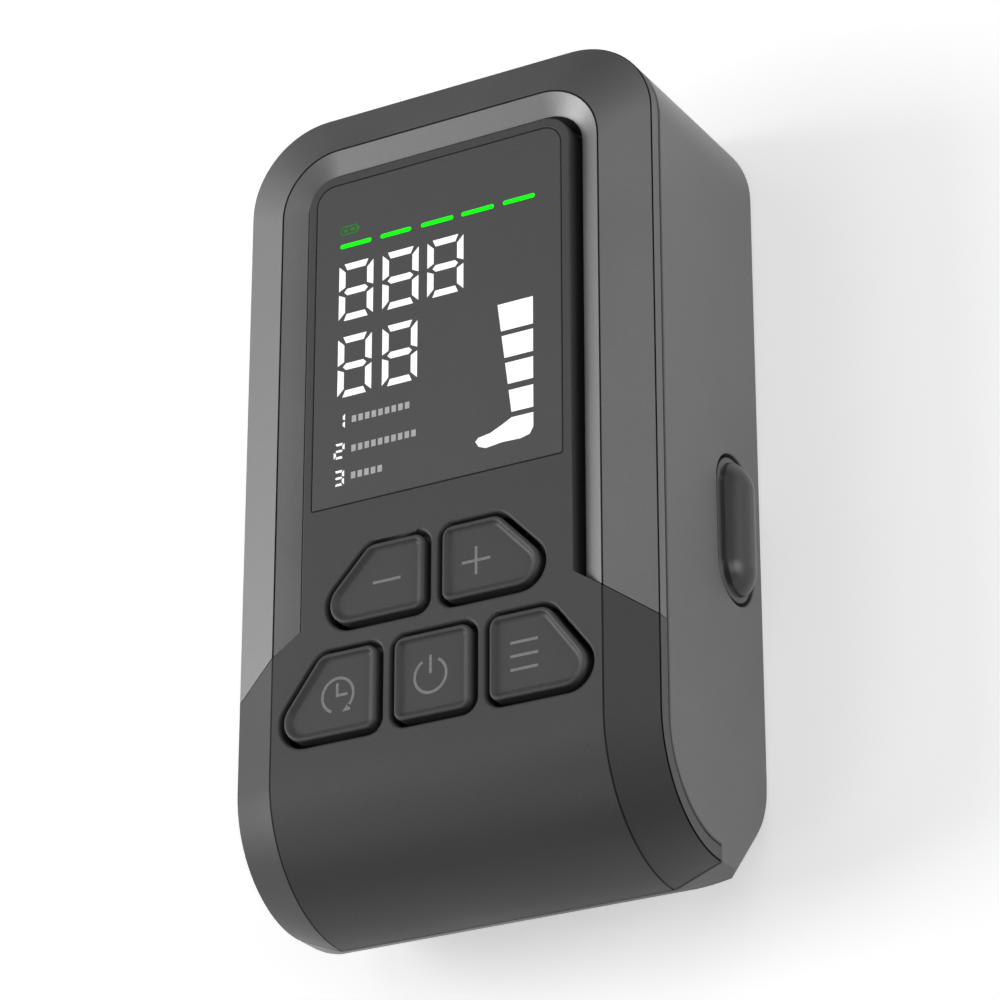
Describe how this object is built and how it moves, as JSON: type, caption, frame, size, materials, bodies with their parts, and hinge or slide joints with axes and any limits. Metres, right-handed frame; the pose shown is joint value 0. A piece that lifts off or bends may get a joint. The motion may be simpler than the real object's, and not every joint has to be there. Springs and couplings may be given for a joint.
{
  "type": "compression therapy pump",
  "caption": "Hand-held air pump for a compression sleeve: display window, press keys, and side release buttons that draw in dock hooks beside the air outlets.",
  "frame": {"origin": "under the middle of the body, on the flat back that it lies on", "axes": "+X to the right of someone reading the face, +Y to the end with the charging slot, +Z out of the face"},
  "size_m": [0.0692, 0.118, 0.0345],
  "materials": {
    "case_plastic": "fine matt moulding grain",
    "frame_plastic": "fine matt moulding grain",
    "key_plastic": "fine matt moulding grain",
    "button_plastic": "satin",
    "window_plastic": "smoked, satin front",
    "nozzle_plastic": "satin",
    "switch_plastic": "satin",
    "circuit_board": "solder mask",
    "display_glass": "dark display glass",
    "battery_wrap": "shrink wrap",
    "tube_rubber": "translucent silicone",
    "spring_steel": "drawn wire",
    "motor_steel": "drawn can",
    "socket_steel": "plated",
    "screw_steel": "zinc plated"
  },
  "bodies": {
    "casing": {"rear_case": "case_plastic", "front_cover": "case_plastic", "bezel_trim": "frame_plastic", "display_window": "window_plastic", "tact_switches": "switch_plastic", "latch_spring_left": "spring_steel", "latch_spring_right": "spring_steel", "display_board": "circuit_board", "main_board": "circuit_board", "display_module": "display_glass", "board_header": "switch_plastic", "usb_socket": "socket_steel", "buzzer": "switch_plastic", "battery_pack": "battery_wrap", "pump_motor": "motor_steel", "pump_head": "nozzle_plastic", "air_tube": "tube_rubber", "outlet_manifold": "nozzle_plastic", "manifold_gasket": "tube_rubber", "case_screws": "screw_steel", "valve_1": "motor_steel", "valve_2": "motor_steel", "valve_3": "motor_steel", "valve_4": "motor_steel", "valve_5": "motor_steel"},
    "key_minus": {"key_minus": "key_plastic", "switch_stem_minus": "nozzle_plastic"},
    "key_plus": {"key_plus": "key_plastic", "switch_stem_plus": "nozzle_plastic"},
    "key_timer": {"key_timer": "key_plastic", "switch_stem_timer": "nozzle_plastic"},
    "key_power": {"key_power": "key_plastic", "switch_stem_power": "nozzle_plastic"},
    "key_mode": {"key_mode": "key_plastic", "switch_stem_mode": "nozzle_plastic"},
    "release_left": {"release_button_left": "button_plastic", "latch_slide_left": "nozzle_plastic"},
    "release_right": {"release_button_right": "button_plastic", "latch_slide_right": "nozzle_plastic"}
  },
  "joints": [
    {"name": "press_minus", "type": "slide", "parent": "casing", "child": "key_minus", "axis": [0, 0, -1], "range_m": [0, 0.0006], "stiffness_N_per_m": 3300},
    {"name": "press_plus", "type": "slide", "parent": "casing", "child": "key_plus", "axis": [0, 0, -1], "range_m": [0, 0.0006], "stiffness_N_per_m": 3300},
    {"name": "press_timer", "type": "slide", "parent": "casing", "child": "key_timer", "axis": [0, 0, -1], "range_m": [0, 0.0006], "stiffness_N_per_m": 3300},
    {"name": "press_power", "type": "slide", "parent": "casing", "child": "key_power", "axis": [0, 0, -1], "range_m": [0, 0.0006], "stiffness_N_per_m": 3300},
    {"name": "press_mode", "type": "slide", "parent": "casing", "child": "key_mode", "axis": [0, 0, -1], "range_m": [0, 0.0006], "stiffness_N_per_m": 3300},
    {"name": "release_left_press", "type": "slide", "parent": "casing", "child": "release_left", "axis": [1, 0, 0], "range_m": [0, 0.0018], "stiffness_N_per_m": 1800, "deforming": ["latch_spring_left"]},
    {"name": "release_right_press", "type": "slide", "parent": "casing", "child": "release_right", "axis": [-1, 0, 0], "range_m": [0, 0.0018], "stiffness_N_per_m": 1800, "deforming": ["latch_spring_right"]}
  ]
}
